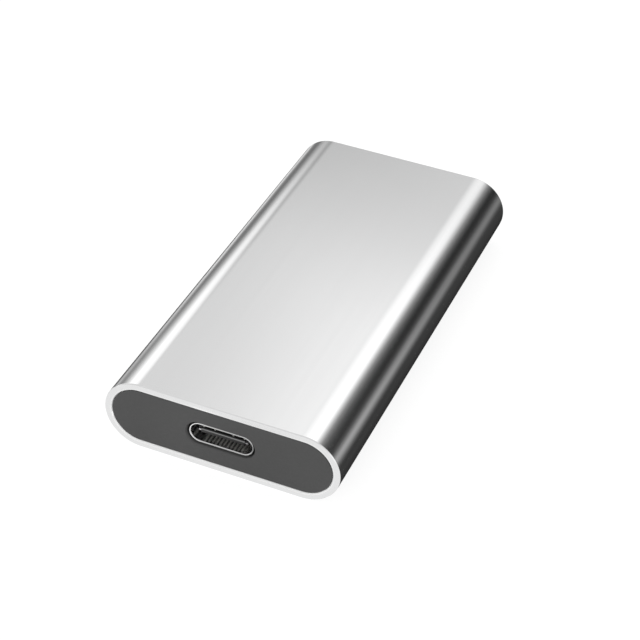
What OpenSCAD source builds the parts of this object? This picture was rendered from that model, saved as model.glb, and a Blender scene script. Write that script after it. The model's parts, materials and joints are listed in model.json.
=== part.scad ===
// Portable solid state drive. An extruded aluminium tube is closed by two moulded end caps.
// A bridge board slides in rails of the tube and carries a type C socket at the front,
// and a storage module that plugs into an edge socket and is held by one small screw.
// X runs across the drive, Y from front to back and Z up. The origin lies on the underside,
// below the middle of the tube, and the socket faces -Y.

/* [Tube] */
// Width of the tube
body_w = 32; // [31:0.5:40]
// Height of the tube, and diameter of its round sides
body_h = 10; // [9.5:0.25:12]
// Length of the tube from front to back
body_l = 63.2; // [62:0.1:90]
// Wall of the tube between its ends
tube_wall = 1.1; // [1:0.05:1.4]
// Depth that the end seats are milled into the wall
seat_cut = 0.1; // [0.05:0.05:0.2]
// Bevel round the outside of each end
rim_bevel = 0.12; // [0.05:0.01:0.3]
// Bevel round the mouth of each end seat
mouth_bevel = 0.14; // [0.05:0.01:0.2]
// Thickness of the rails that hold the board
rail_t = 0.6; // [0.4:0.1:0.8]
// Distance that the board's edge reaches between the rails
rail_bite = 1; // [0.7:0.1:1.5]

/* [End caps] */
// Thickness of a cap's face
cap_face_t = 1.6; // [1.2:0.1:2]
// Distance of the cap's face behind the rim
cap_inset = 0; // [0:0.05:0.3]
// Bevel round the cap's face
cap_bevel = 0.12; // [0.05:0.01:0.3]
// Clearance between the cap's face and its seat
cap_gap = 0.04; // [0.02:0.01:0.1]
// Length of the skirt behind the face
skirt_l = 3.6; // [3.2:0.2:5]
// Thickness of the skirt
skirt_t = 0.9; // [0.7:0.1:1.2]
// Clearance between the skirt and its seat
skirt_gap = 0.15; // [0.1:0.05:0.2]
// Width of each snap tongue
snap_w = 7; // [5:0.5:9]
// Width of the slots beside a snap tongue
snap_slot = 0.6; // [0.4:0.1:1]
// Radius of the snap bead
snap_r = 0.45; // [0.4:0.05:0.6]
// Depth that the bead and its groove reach into the wall
snap_bite = 0.25; // [0.2:0.05:0.35]

/* [Type C socket] */
// Outside width of the socket's steel shell
socket_w = 8.84; // [8.8:0.02:9.1]
// Outside height of the socket's steel shell
socket_h = 3.06; // [3:0.02:3.3]
// Wall of the steel shell
socket_wall = 0.25; // [0.2:0.05:0.35]
// Length of the steel shell
socket_l = 7.35; // [7.1:0.05:7.6]
// Distance of the shell's front edge behind the cap's face
socket_inset = 0.3; // [0.05:0.05:0.4]
// Height of the socket's middle above the middle of the tube
socket_rise = 0.15; // [0:0.05:0.3]
// Clearance round the shell in the cap
socket_gap = 0.22; // [0.1:0.02:0.3]
// Depth that a plug can enter
plug_depth = 6.2; // [6:0.05:6.3]
// Width of the tongue
tongue_w = 6.69; // [6.5:0.01:6.8]
// Thickness of the tongue
tongue_t = 0.7; // [0.65:0.01:0.75]
// Distance of the tongue's tip behind the shell's front edge
tongue_inset = 0.5; // [0.4:0.1:1.5]
// Distance between neighbouring contacts
contact_pitch = 0.5; // [0.48:0.01:0.52]
// Width of a contact
contact_w = 0.25; // [0.2:0.01:0.3]
// Thickness of the contacts' sheet
contact_t = 0.15; // [0.1:0.01:0.18]

/* [Bridge board] */
// Thickness of the board
board_t = 1; // [0.8:0.1:1.2]
// Clearance between the board and the rails or caps
board_gap = 0.08; // [0.05:0.01:0.15]
// Bevel of the board's corners
board_corner = 1.2; // [0.8:0.1:2]
// Side of the bridge chip
bridge_w = 7; // [5:0.5:8]
// Height of the bridge chip
bridge_h = 0.85; // [0.6:0.05:1]

/* [Storage module] */
// Width of the module
module_w = 22; // [22:0.1:22.4]
// Thickness of the module's board
module_t = 0.8; // [0.6:0.05:0.9]
// Height of the module above the bridge board
module_gap = 1.6; // [1.4:0.05:1.8]
// Distance by which the edge that enters the socket is narrower on each side
edge_shoulder = 1.075; // [1:0.025:1.2]
// Length of the edge that enters the socket
edge_l = 4; // [3.6:0.1:4.2]
// Distance of the key notch from the middle
key_x = 6.125; // [6:0.125:6.25]
// Width of the key notch
key_w = 1.2; // [1:0.05:1.3]
// Height of the chips on the module
chip_h = 1.2; // [0.9:0.05:1.3]
// Side of the controller chip
controller_w = 8; // [7:0.25:9]
// Width of a flash chip across the module
flash_w = 13.5; // [12:0.5:15]
// Length of a flash chip along the module
flash_l = 11.5; // [10:0.25:11.5]
// Diameter of the module's screw head
screw_head_d = 4.6; // [4.2:0.1:4.8]
// Diameter of the module's screw thread
screw_d = 1.9; // [1.6:0.1:2]

/* [Hidden] */
$fn = 96;

// Length by which a cut runs past the surface that it opens
overrun = 0.5;

// Colours
aluminium = [0.80, 0.80, 0.81];
cap_grey = [0.32, 0.32, 0.33];
steel = [0.72, 0.72, 0.74];
black_resin = [0.07, 0.07, 0.08];
gold = [0.85, 0.68, 0.32];
solder_mask = [0.06, 0.20, 0.14];
chip_black = [0.10, 0.10, 0.11];
ferrite = [0.24, 0.24, 0.26];
ceramic_tan = [0.62, 0.50, 0.36];
pad_blue = [0.45, 0.62, 0.75];
film_amber = [0.70, 0.50, 0.16];

// Tube
mid_z = body_h / 2;
front_y = -body_l / 2;
back_y = body_l / 2;
bore_w = body_w - 2 * tube_wall;
bore_h = body_h - 2 * tube_wall;
bore_floor = tube_wall;
bore_ceiling = body_h - tube_wall;
bore_r = bore_h / 2;
seat_w = bore_w + 2 * seat_cut;
seat_h = bore_h + 2 * seat_cut;
seat_run = 0.2;
seat_l = cap_inset + cap_face_t + skirt_l + seat_run;

// End caps
face_y = front_y + cap_inset;
face_back_y = face_y + cap_face_t;
skirt_back_y = face_back_y + skirt_l;
skirt_w = seat_w - 2 * skirt_gap;
skirt_h = seat_h - 2 * skirt_gap;
skirt_root = 0.8;
snap_end = 1;
snap_y = skirt_back_y - snap_end;
snap_side_run = 0.15;
snap_groove_half = snap_r + snap_side_run;
collar_t = 0.7;
collar_l = 1.1;
aperture_bevel = 0.15;

// Type C socket
socket_z = mid_z + socket_rise;
socket_y = face_y + socket_inset;
socket_back_y = socket_y + socket_l;
socket_bore_w = socket_w - 2 * socket_wall;
socket_bore_h = socket_h - 2 * socket_wall;
lip_bevel = 0.08;
base_y = socket_y + plug_depth;
base_fit = 0.02;
tongue_y = socket_y + tongue_inset;
tongue_root_l = 1.2;
tongue_root_t = 1.2;
tongue_root_w = 7.1;
tongue_bevel = 0.15;
contact_count = 12;
contact_proud = 0.03;
tip_edge = 0.07;
tongue_tip_w = (contact_count - 1) * contact_pitch + contact_w + 2 * tip_edge;
power_places = [0, 3, 8, 11];
power_tip = 0.35;
signal_tip = 0.7;
upper_tail_gap = 0.06;
upper_foot = 0.9;
lower_drop = 0.65;
lower_foot = 0.5;
pocket_l = 0.9;
plate_t = 0.15;
plate_side = 0.3;
plate_tip = 0.15;
ear_l = 2.2;
leg_w = 1.1;
leg_t = 0.25;
leg_inset = 0.03;
leg_stick = 0.3;
leg_hole_gap = 0.14;
leg_place_shares = [0.33, 0.86];

// Bridge board
board_top = socket_z - socket_h / 2;
board_z = board_top - board_t;
board_side_gap = 0.2;
board_half = bore_half(board_z) - board_side_gap;
board_front = face_back_y + board_gap;
board_back = -board_front;

// Storage module
nut_edge = 3.2;
nut_y = board_back - nut_edge;
nut_d = 5;
nut_pin_d = 2.9;
nut_pin_fit = 0.05;
nut_bore_fit = 0.06;
module_z = board_top + module_gap;
module_top = module_z + module_t;
half_moon_r = 1.75;
key_l = 3.5;
shoulder_gap = 0.1;
edge_w = module_w - 2 * edge_shoulder;
msocket_l = 7.4;
msocket_side = 0.05;
msocket_w = module_w - 2 * msocket_side;
msocket_h = 3.2;
spring_gap = 0.06;
spring_t = 0.15;
spring_w = 0.22;
spring_foot = 0.7;
spring_drop_gap = 0.05;
spring_run = spring_drop_gap + spring_t + spring_foot;
edge_gap = 0.12;
edge_tip_gap = 0.15;
key_gap = 0.1;
finger_w = 0.35;
finger_l = 2.2;
finger_t = 0.04;
finger_tip = 0.5;
finger_pitch = 0.5;
finger_side = 0.6;
finger_n = floor((edge_w - 2 * finger_side) / finger_pitch) + 1;
edge_bevel = 0.4;
msocket_bevel = 0.6;
spring_reach = 1.8;
screw_head_h = 0.7;
screw_l = 2;
cross_w = 0.5;
cross_l = 2.2;
cross_depth = 0.4;
chip_gap = 0.6;

// Surge arrays, just behind the tails of the type C socket
surge_size = [2.5, 1, 0.5];
surge_x = 2;
surge_gap = 0.3;
surge_y = socket_back_y + upper_tail_gap + upper_foot + surge_gap + surge_size.y / 2;

// Lengths that a storage module comes in, and the longest that the tube has room for
module_lengths = [30, 42, 60, 80];
module_front_limit = surge_y + surge_size.y / 2 + surge_gap + spring_run + msocket_l - edge_l + shoulder_gap;
module_l = max([for (l = module_lengths) if (l <= nut_y - module_front_limit) l]);
module_front = nut_y - module_l;
msocket_back = module_front + edge_l - shoulder_gap;
msocket_front = msocket_back - msocket_l;

// Chips on the module: the controller by the socket, then flash chips as far as the nut
controller_y = module_front + edge_l + 2 * chip_gap + controller_w / 2;
flash_start_y = controller_y + controller_w / 2 + chip_gap;
flash_pitch = flash_l + chip_gap;
flash_count = floor((nut_y - nut_d / 2 - flash_start_y) / flash_pitch);
flash_first_y = flash_start_y + flash_l / 2;
flash_end_y = flash_start_y + flash_count * flash_pitch - chip_gap;
chip_top = module_top + chip_h;
power_chip_size = [3.6, 3.6, 0.8];
module_cap_size = [1, 0.5, 0.5];
pad_side = 0.5;
film_t = 0.1;
film_side = 1;
film_w = bore_w - bore_h - 2 * film_side;
film_end = 0.6;

// Details that the chips share
mould_step = 0.12;
substrate_share = 0.28;
dimple_d = 0.5;
dimple_in = 0.9;
dimple_depth = 0.06;
lead_t = 0.15;
lead_foot = 0.5;
band_share = 0.22;
band_proud = 0.02;

// Small parts on the bridge board
crystal_size = [2.5, 2, 0.6];
crystal_r = 0.3;
crystal_step = 0.12;
crystal_base_share = 0.4;
firmware_size = [4.9, 3.9, 0.9];
firmware_pitch = 1.27;
firmware_pins = 4;
firmware_lead_w = 0.4;
switch_size = [2.9, 1.6, 1];
switch_pitch = 0.95;
switch_pins = 3;
switch_lead_w = 0.35;
coil_size = [4, 4, 2];
coil_corner = 0.6;
coil_step = 0.25;
coil_base_share = 0.3;
cap_size = [1.6, 0.8, 0.8];
resistor_size = [1, 0.5, 0.35];

// Room on the board to each side of the type C socket
zone_edge = 0.6;
side_x = socket_w / 2 + zone_edge;
side_w = board_half - rail_bite - zone_edge - side_x;
side_y = board_front + zone_edge;
side_l = msocket_front - spring_run - zone_edge - side_y;

// Room under the module, from the edge socket's tails to the nut
under_y = msocket_back + spring_run;
under_l = nut_y - nut_d / 2 - under_y;

// Places in those rooms, as shares of their width and length. A third value of 1 turns
// the part across the board.
coil_share = [0.42, 0.3];
side_cap_shares = [
    [-0.2, 0.7, 1], [-0.45, 0.7, 1], [-0.7, 0.7, 1], [-0.45, 0.92, 0], [0.9, 0.75, 1]
];
side_resistor_shares = [[-0.9, 0.66, 1], [-0.9, 0.84, 1]];
bridge_share = [0, 0.2];
crystal_share = [-0.31, 0.15];
firmware_share = [0, 0.56];
under_cap_shares = [
    [0.26, 0.1, 0], [0.26, 0.16, 0], [0.26, 0.22, 0], [0.26, 0.28, 0], [-0.3, 0.26, 0],
    [-0.3, 0.32, 0], [0.3, 0.5, 1], [-0.3, 0.5, 1], [0, 0.74, 0], [0.12, 0.74, 0], [-0.12, 0.74, 0]
];
under_resistor_shares = [
    [-0.12, 0.385, 1], [-0.06, 0.385, 1], [0, 0.385, 1], [0.06, 0.385, 1], [0.12, 0.385, 1],
    [0.22, 0.5, 0], [0.22, 0.58, 0], [-0.22, 0.5, 0], [-0.22, 0.58, 0], [0.22, 0.66, 0], [-0.22, 0.66, 0]
];
module_cap_shares = [
    [-0.36, 0.22, 1], [-0.3, 0.22, 1], [-0.36, 0.3, 1], [-0.3, 0.3, 1], [-0.4, 0.5, 1],
    [0.4, 0.5, 1], [-0.4, 0.62, 1], [0.4, 0.62, 1], [-0.4, 0.78, 1], [0.4, 0.78, 1]
];
power_chip_share = [0.34, 0.22];

// Coils beside the type C socket, and the switch that stands close behind one of them
coil_x = side_x + coil_share[0] * side_w;
coil_y = side_y + coil_share[1] * side_l;
switch_gap = 1.3;
switch_y = coil_y + coil_size.y / 2 + switch_gap + switch_size.y / 2;

// Half of the bore's width at height z
function bore_half(z) = bore_w / 2 - bore_r + sqrt(bore_r * bore_r - (z - mid_z) * (z - mid_z));

// Middle of contact number i of a row of n, counted from the left
function row_x(i, n, pitch) = (i - (n - 1) / 2) * pitch;

// Profile with a flat top and bottom and half-round sides
module round_sided(w, h) {
    square([w - h, h], center = true);
    for (side = [-1, 1])
        translate([side * (w - h) / 2, 0])
            circle(d = h);
}

// Pushes a profile that is drawn across the tube along Y from y, for length l
module along_y(y, l) {
    translate([0, y + l, 0])
        rotate([90, 0, 0])
            linear_extrude(l)
                children();
}

// Strip of width w about x, whose profile is drawn as [y, z]
module strip(x, w) {
    translate([x - w / 2, 0, 0])
        rotate([90, 0, 90])
            linear_extrude(w)
                children();
}

// Box centred on x and y that stands on z
module block(x, y, z, size) {
    translate([x - size.x / 2, y - size.y / 2, z])
        cube(size);
}

// Bar along Y with half-round sides, centred on height z. Each step is [y, inset],
// where inset is how far the outline there lies inside w by h.
module round_bar(w, h, z, steps) {
    r = h / 2;
    last = len(steps) - 1;
    edge = [for (step = steps) [r - step[1], step[0]]];
    turned = concat([[0, steps[0][0]]], edge, [[0, steps[last][0]]]);
    pushed = concat(edge, [for (i = [last:-1:0]) [-edge[i][0], edge[i][1]]]);
    translate([0, 0, z]) {
        rotate([0, 90, 0])
            linear_extrude(w - h, center = true)
                polygon(pushed);
        for (side = [0, 1])
            mirror([side, 0, 0])
                translate([w / 2 - r, 0, 0])
                    rotate([-90, 0, 0])
                        rotate([0, 0, -90])
                            rotate_extrude(angle = 180)
                                polygon(turned);
    }
}

// Copies what is drawn at the front to the back as well
module both_ends() {
    children();
    rotate([0, 0, 180])
        children();
}

// Section of the bore between the seats, with two rails on each side
module rail_bore() {
    rail_x = board_half - rail_bite;
    reach = body_w / 2 - rail_x;
    translate([0, mid_z])
        difference() {
            round_sided(bore_w, bore_h);
            for (side = [-1, 1], z = [board_z - board_gap - rail_t, board_top + board_gap])
                translate([side * (rail_x + reach / 2), z - mid_z + rail_t / 2])
                    square([reach, rail_t], center = true);
        }
}

// Space for one cap: bevelled mouth, milled seat and snap groove
module cap_seat() {
    groove = snap_bite - skirt_gap;
    round_bar(seat_w, seat_h, mid_z, [
        [front_y - overrun, -mouth_bevel - overrun],
        [front_y + mouth_bevel, 0],
        [snap_y - snap_groove_half, 0],
        [snap_y - snap_groove_half + groove, -snap_bite],
        [snap_y + snap_groove_half - groove, -snap_bite],
        [snap_y + snap_groove_half, 0],
        [front_y + seat_l, 0]
    ]);
}

module tube() {
    color(aluminium)
        difference() {
            round_bar(body_w, body_h, mid_z, [
                [front_y, rim_bevel],
                [front_y + rim_bevel, 0],
                [back_y - rim_bevel, 0],
                [back_y, rim_bevel]
            ]);
            along_y(front_y + seat_l / 2, body_l - seat_l)
                rail_bore();
            both_ends()
                cap_seat();
        }
}

// Snap tongue's bead, on the top or bottom of the skirt
module snap_bead() {
    reach = seat_h / 2 + snap_bite - skirt_gap;
    for (side = [-1, 1])
        translate([0, snap_y, mid_z + side * (reach - snap_r)])
            rotate([0, 90, 0])
                cylinder(h = snap_w, r = snap_r, center = true);
}

// Cap with no opening, at the front end
module blank_cap() {
    inner_w = skirt_w - 2 * skirt_t;
    inner_h = skirt_h - 2 * skirt_t;
    slot_h = board_t + 2 * board_gap;
    slot_l = skirt_l - skirt_root;
    difference() {
        union() {
            round_bar(seat_w - 2 * cap_gap, seat_h - 2 * cap_gap, mid_z, [
                [face_y, cap_bevel],
                [face_y + cap_bevel, 0],
                [face_back_y, 0]
            ]);
            difference() {
                union() {
                    round_bar(skirt_w, skirt_h, mid_z, [
                        [face_back_y - cap_bevel, 0],
                        [skirt_back_y - cap_bevel, 0],
                        [skirt_back_y, cap_bevel]
                    ]);
                    snap_bead();
                }
                round_bar(inner_w, inner_h, mid_z, [
                    [face_back_y, 0],
                    [skirt_back_y + overrun, 0]
                ]);
            }
        }
        block(0, face_back_y + (skirt_l + overrun) / 2, board_z - board_gap,
            [body_w, skirt_l + overrun, slot_h]);
        for (side = [-1, 1])
            block(side * (snap_w + snap_slot) / 2, skirt_back_y + (overrun - slot_l) / 2, 0,
                [snap_slot, slot_l + overrun, body_h]);
    }
}

module front_cap() {
    hole_w = socket_w + 2 * socket_gap;
    hole_h = socket_h + 2 * socket_gap;
    color(cap_grey)
        difference() {
            union() {
                blank_cap();
                difference() {
                    round_bar(hole_w + 2 * collar_t, hole_h + 2 * collar_t, socket_z, [
                        [face_back_y - cap_bevel, 0],
                        [face_back_y + collar_l, 0]
                    ]);
                    block(0, face_back_y + (collar_l + overrun) / 2, 0,
                        [body_w, collar_l + overrun, socket_z]);
                }
            }
            round_bar(hole_w, hole_h, socket_z, [
                [face_y - overrun, -aperture_bevel - overrun],
                [face_y + aperture_bevel, 0],
                [face_back_y + collar_l + overrun, 0]
            ]);
        }
}

module rear_cap() {
    color(cap_grey)
        rotate([0, 0, 180])
            blank_cap();
}

// Middle of the shell's solder leg number i along Y
function leg_y(i) = socket_y + leg_place_shares[i] * socket_l;

// Drawn steel shell with four solder legs, open below its back end for the tails
module usb_c_shell() {
    leg_x = socket_w / 2 - leg_inset - leg_t / 2;
    leg_foot = board_z - leg_stick;
    color(steel)
        difference() {
            union() {
                round_bar(socket_w, socket_h, socket_z, [
                    [socket_y, lip_bevel],
                    [socket_y + lip_bevel, 0],
                    [socket_back_y, 0]
                ]);
                for (side = [-1, 1], i = [0, 1])
                    block(side * leg_x, leg_y(i), leg_foot, [leg_t, leg_w, socket_z - leg_foot]);
            }
            round_bar(socket_bore_w, socket_bore_h, socket_z, [
                [socket_y - overrun, -lip_bevel - overrun],
                [socket_y + lip_bevel, 0],
                [socket_back_y + overrun, 0]
            ]);
            block(0, socket_back_y - pocket_l / 2 + overrun / 2, board_top - socket_wall,
                [socket_w - socket_h, pocket_l + overrun, 2 * socket_wall + base_fit]);
        }
}

// Upper contact i: a flat strip on the tongue that drops behind the base to its foot
module upper_contact(i) {
    tip = tongue_y + contact_tip(i);
    top = socket_z + tongue_t / 2 + contact_proud;
    drop = socket_back_y + upper_tail_gap;
    strip(row_x(i, contact_count, contact_pitch), contact_w)
        polygon([
            [tip, top - contact_t],
            [drop, top - contact_t],
            [drop, board_top],
            [drop + upper_foot, board_top],
            [drop + upper_foot, board_top + contact_t],
            [drop + contact_t, board_top + contact_t],
            [drop + contact_t, top],
            [tip, top]
        ]);
}

// Lower contact i: a flat strip under the tongue that drops in the base's pocket
module lower_contact(i) {
    tip = tongue_y + contact_tip(i);
    low = socket_z - tongue_t / 2 - contact_proud;
    drop = socket_back_y - lower_drop;
    strip(row_x(i, contact_count, contact_pitch), contact_w)
        polygon([
            [tip, low],
            [drop, low],
            [drop, board_top],
            [drop + lower_foot, board_top],
            [drop + lower_foot, board_top + contact_t],
            [drop + contact_t, board_top + contact_t],
            [drop + contact_t, low + contact_t],
            [tip, low + contact_t]
        ]);
}

// Distance of contact i behind the tongue's tip: power contacts reach further forward
function contact_tip(i) = len(search(i, power_places)) > 0 ? power_tip : signal_tip;

// Steel plate inside the tongue, with an ear at each side that a plug's latch grips
module mid_plate() {
    plate_w = tongue_tip_w - 2 * plate_side;
    plate_l = base_y - tongue_y - plate_tip;
    block(0, tongue_y + plate_tip + plate_l / 2, socket_z - plate_t / 2,
        [plate_w, plate_l, plate_t]);
    block(0, tongue_y + plate_tip + ear_l / 2, socket_z - plate_t / 2,
        [tongue_w, ear_l, plate_t]);
}

// Moulded insert: the base that fills the back of the shell, and the tongue, narrower beside the ears
module usb_c_tongue() {
    tip_z = tongue_t / 2 - tongue_bevel;
    wide_y = tongue_y + plate_tip + ear_l;
    root_y = base_y - tongue_root_l;
    root_end = base_y + tongue_bevel;
    color(black_resin)
        difference() {
            union() {
                strip(0, tongue_tip_w)
                    polygon([
                        [tongue_y, socket_z - tip_z],
                        [tongue_y + tongue_bevel, socket_z - tongue_t / 2],
                        [root_end, socket_z - tongue_t / 2],
                        [root_end, socket_z + tongue_t / 2],
                        [tongue_y + tongue_bevel, socket_z + tongue_t / 2],
                        [tongue_y, socket_z + tip_z]
                    ]);
                strip(0, tongue_w)
                    polygon([
                        [wide_y, socket_z - tongue_t / 2],
                        [root_end, socket_z - tongue_t / 2],
                        [root_end, socket_z + tongue_t / 2],
                        [wide_y, socket_z + tongue_t / 2]
                    ]);
                strip(0, tongue_root_w)
                    polygon([
                        [root_y, socket_z - tongue_t / 2],
                        [root_y + tongue_bevel, socket_z - tongue_root_t / 2],
                        [root_end, socket_z - tongue_root_t / 2],
                        [root_end, socket_z + tongue_root_t / 2],
                        [root_y + tongue_bevel, socket_z + tongue_root_t / 2],
                        [root_y, socket_z + tongue_t / 2]
                    ]);
                round_bar(socket_bore_w - 2 * base_fit, socket_bore_h - 2 * base_fit, socket_z, [
                    [base_y, 0],
                    [socket_back_y, 0]
                ]);
            }
            mid_plate();
            for (i = [0:contact_count - 1]) {
                upper_contact(i);
                lower_contact(i);
            }
            block(0, socket_back_y + (overrun - pocket_l) / 2, board_top,
                [socket_w - socket_h, pocket_l + overrun,
                    socket_z - tongue_t / 2 - contact_proud - board_top]);
        }
}

module usb_c_mid_plate() {
    color(steel)
        mid_plate();
}

module usb_c_upper_contacts() {
    color(gold)
        for (i = [0:contact_count - 1])
            upper_contact(i);
}

module usb_c_lower_contacts() {
    color(gold)
        for (i = [0:contact_count - 1])
            lower_contact(i);
}

module bridge_board() {
    leg_x = socket_w / 2 - leg_inset - leg_t / 2;
    color(solder_mask)
        difference() {
            translate([0, 0, board_z])
                linear_extrude(board_t)
                    polygon([
                        [-board_half + board_corner, board_front],
                        [board_half - board_corner, board_front],
                        [board_half, board_front + board_corner],
                        [board_half, board_back - board_corner],
                        [board_half - board_corner, board_back],
                        [-board_half + board_corner, board_back],
                        [-board_half, board_back - board_corner],
                        [-board_half, board_front + board_corner]
                    ]);
            for (side = [-1, 1], i = [0, 1])
                translate([side * leg_x, leg_y(i), board_z - overrun])
                    rotate([0, 0, 90])
                        linear_extrude(board_t + 2 * overrun)
                            round_sided(leg_w + 2 * leg_hole_gap + leg_t, leg_t + 2 * leg_hole_gap);
            translate([0, nut_y, board_z - overrun])
                cylinder(h = board_t + 2 * overrun, d = nut_pin_d + 2 * nut_pin_fit);
        }
}

// Moulded chip package that stands on z, with a dimple at its first corner
module package(x, y, z, size) {
    difference() {
        union() {
            block(x, y, z, [size.x, size.y, size.z * substrate_share]);
            block(x, y, z, [size.x - 2 * mould_step, size.y - 2 * mould_step, size.z]);
        }
        translate([x - size.x / 2 + dimple_in, y - size.y / 2 + dimple_in, z + size.z - dimple_depth])
            cylinder(h = dimple_depth + overrun, d = dimple_d);
    }
}

// Chip package with a row of bent leads on each long side
module leaded_package(x, y, z, size, pins, pitch, lead_w) {
    half = size.y / 2;
    lead_z = size.z / 2;
    translate([x, y, z]) {
        package(0, 0, lead_t / 2, [size.x, size.y, size.z - lead_t / 2]);
        for (side = [0, 180], i = [0:pins - 1])
            rotate([0, 0, side])
                strip(row_x(i, pins, pitch), lead_w)
                    polygon([
                        [half - mould_step - lead_t, lead_z],
                        [half + lead_t, lead_z],
                        [half + lead_t, 0],
                        [half + 2 * lead_t + lead_foot, 0],
                        [half + 2 * lead_t + lead_foot, lead_t],
                        [half + 2 * lead_t, lead_t],
                        [half + 2 * lead_t, lead_z + lead_t],
                        [half - mould_step - lead_t, lead_z + lead_t]
                    ]);
    }
}

// Ceramic block with a metal band round each end, turned across the board if turned is 1
module banded_block(x, y, z, turned, size) {
    band = size.x * band_share;
    translate([x, y, z])
        rotate([0, 0, turned * 90]) {
            block(0, 0, band_proud, [size.x - band, size.y - 2 * band_proud, size.z - 2 * band_proud]);
            for (side = [-1, 1])
                block(side * (size.x - band) / 2, 0, 0, [band, size.y, size.z]);
        }
}

// Block in plan with bevelled corners
module bevelled_block(size, corner) {
    linear_extrude(size.z)
        polygon([
            for (side = [0, 1], end = [0, 1])
                each let (
                    sx = side == 0 ? 1 : -1,
                    sy = (side + end) % 2 == 0 ? -1 : 1,
                    near_x = [sx * (size.x / 2 - corner), sy * size.y / 2],
                    near_y = [sx * size.x / 2, sy * (size.y / 2 - corner)]
                )
                end == 0 ? [near_x, near_y] : [near_y, near_x]
        ]);
}

module bridge_chip() {
    color(chip_black)
        package(bridge_share[0] * module_w, under_y + bridge_share[1] * under_l, board_top,
            [bridge_w, bridge_w, bridge_h]);
}

module firmware_chip() {
    color(chip_black)
        leaded_package(firmware_share[0] * module_w, under_y + firmware_share[1] * under_l,
            board_top, firmware_size, firmware_pins, firmware_pitch, firmware_lead_w);
}

// Profile of the crystal's can, seen from above
module can_outline(w, l) {
    square([w - 2 * crystal_r, l], center = true);
    square([w, l - 2 * crystal_r], center = true);
    for (sx = [-1, 1], sy = [-1, 1])
        translate([sx * (w / 2 - crystal_r), sy * (l / 2 - crystal_r)])
            circle(r = crystal_r);
}

module crystal_can() {
    color(steel)
        translate([crystal_share[0] * module_w, under_y + crystal_share[1] * under_l, board_top]) {
            linear_extrude(crystal_size.z * crystal_base_share)
                can_outline(crystal_size.x, crystal_size.y);
            linear_extrude(crystal_size.z)
                can_outline(crystal_size.x - 2 * crystal_step, crystal_size.y - 2 * crystal_step);
        }
}

module surge_arrays() {
    color(chip_black)
        for (side = [-1, 1])
            block(side * surge_x, surge_y, board_top, surge_size);
}

module power_inductors() {
    foot_size = [coil_size.x + 2 * coil_step, coil_size.y / 2, coil_size.z * coil_base_share];
    color(ferrite)
        for (side = [-1, 1])
            translate([side * coil_x, coil_y, board_top]) {
                bevelled_block(coil_size, coil_corner);
                bevelled_block(foot_size, coil_step);
            }
}

module power_switch() {
    color(chip_black)
        leaded_package(coil_x, switch_y, board_top, switch_size, switch_pins, switch_pitch,
            switch_lead_w);
}

// Banded blocks beside the type C socket, at shares of the room there
module beside_socket(shares, size) {
    for (p = shares)
        banded_block(sign(p[0]) * (side_x + abs(p[0]) * side_w), side_y + p[1] * side_l,
            board_top, p[2], size);
}

// Banded blocks under the module, at shares of the room there
module under_module(shares, size) {
    for (p = shares)
        banded_block(p[0] * module_w, under_y + p[1] * under_l, board_top, p[2], size);
}

module board_capacitors() {
    color(ceramic_tan) {
        beside_socket(side_cap_shares, cap_size);
        under_module(under_cap_shares, cap_size);
    }
}

module board_resistors() {
    color(chip_black) {
        beside_socket(side_resistor_shares, resistor_size);
        under_module(under_resistor_shares, resistor_size);
    }
}

// Whether a contact at x stays clear of the key
function clear_of_key(x) = abs(x - key_x) > key_w / 2 + finger_w;

// Places across the edge of its upper row and, half a pitch aside, of its lower row
upper_row = [for (i = [0:finger_n - 1]) if (clear_of_key(row_x(i, finger_n, finger_pitch)))
    row_x(i, finger_n, finger_pitch)];
lower_row = [for (i = [0:finger_n - 2]) if (clear_of_key(row_x(i, finger_n - 1, finger_pitch)))
    row_x(i, finger_n - 1, finger_pitch)];

// Upper spring at x: reaches over the edge, passes the socket's wall and drops to its foot
module upper_spring(x) {
    low = module_top + spring_gap;
    inner = module_front + spring_reach;
    drop = msocket_front - spring_drop_gap;
    strip(x, spring_w)
        polygon([
            [inner, low],
            [inner, low + spring_t],
            [drop - spring_t, low + spring_t],
            [drop - spring_t, board_top + spring_t],
            [drop - spring_t - spring_foot, board_top + spring_t],
            [drop - spring_t - spring_foot, board_top],
            [drop, board_top],
            [drop, low]
        ]);
}

// Lower spring at x: lies under the edge, leaves by the mouth and drops to its foot
module lower_spring(x) {
    high = module_z - spring_gap;
    inner = module_front + spring_reach / 2;
    drop = msocket_back + spring_drop_gap;
    strip(x, spring_w)
        polygon([
            [inner, high],
            [drop + spring_t, high],
            [drop + spring_t, board_top + spring_t],
            [drop + spring_t + spring_foot, board_top + spring_t],
            [drop + spring_t + spring_foot, board_top],
            [drop, board_top],
            [drop, high - spring_t],
            [inner, high - spring_t]
        ]);
}

// Moulded edge socket, open to the back, with a rib for the module's key notch
module module_socket() {
    low = module_z - spring_gap - spring_t;
    high = module_top + spring_gap + spring_t;
    inner = module_front - edge_tip_gap;
    roof = board_top + msocket_h;
    cheek = (msocket_w - edge_w) / 2 - edge_gap;
    rib_w = key_w - 2 * key_gap;
    rib_l = key_l - key_w / 2;
    color(black_resin)
        difference() {
            union() {
                strip(0, msocket_w)
                    polygon([
                        [msocket_front, board_top],
                        [msocket_back, board_top],
                        [msocket_back, low],
                        [inner, low],
                        [inner, high],
                        [msocket_back, high],
                        [msocket_back, roof],
                        [msocket_front + msocket_bevel, roof],
                        [msocket_front, roof - msocket_bevel]
                    ]);
                for (side = [-1, 1])
                    block(side * (msocket_w - cheek) / 2, (msocket_front + msocket_back) / 2, board_top,
                        [cheek, msocket_l, msocket_h - msocket_bevel]);
                block(key_x, (inner + module_front + rib_l) / 2, low,
                    [rib_w, module_front + rib_l - inner, high - low]);
            }
            for (x = upper_row)
                upper_spring(x);
        }
}

module socket_contacts() {
    color(gold) {
        for (x = upper_row)
            upper_spring(x);
        for (x = lower_row)
            lower_spring(x);
    }
}

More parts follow.
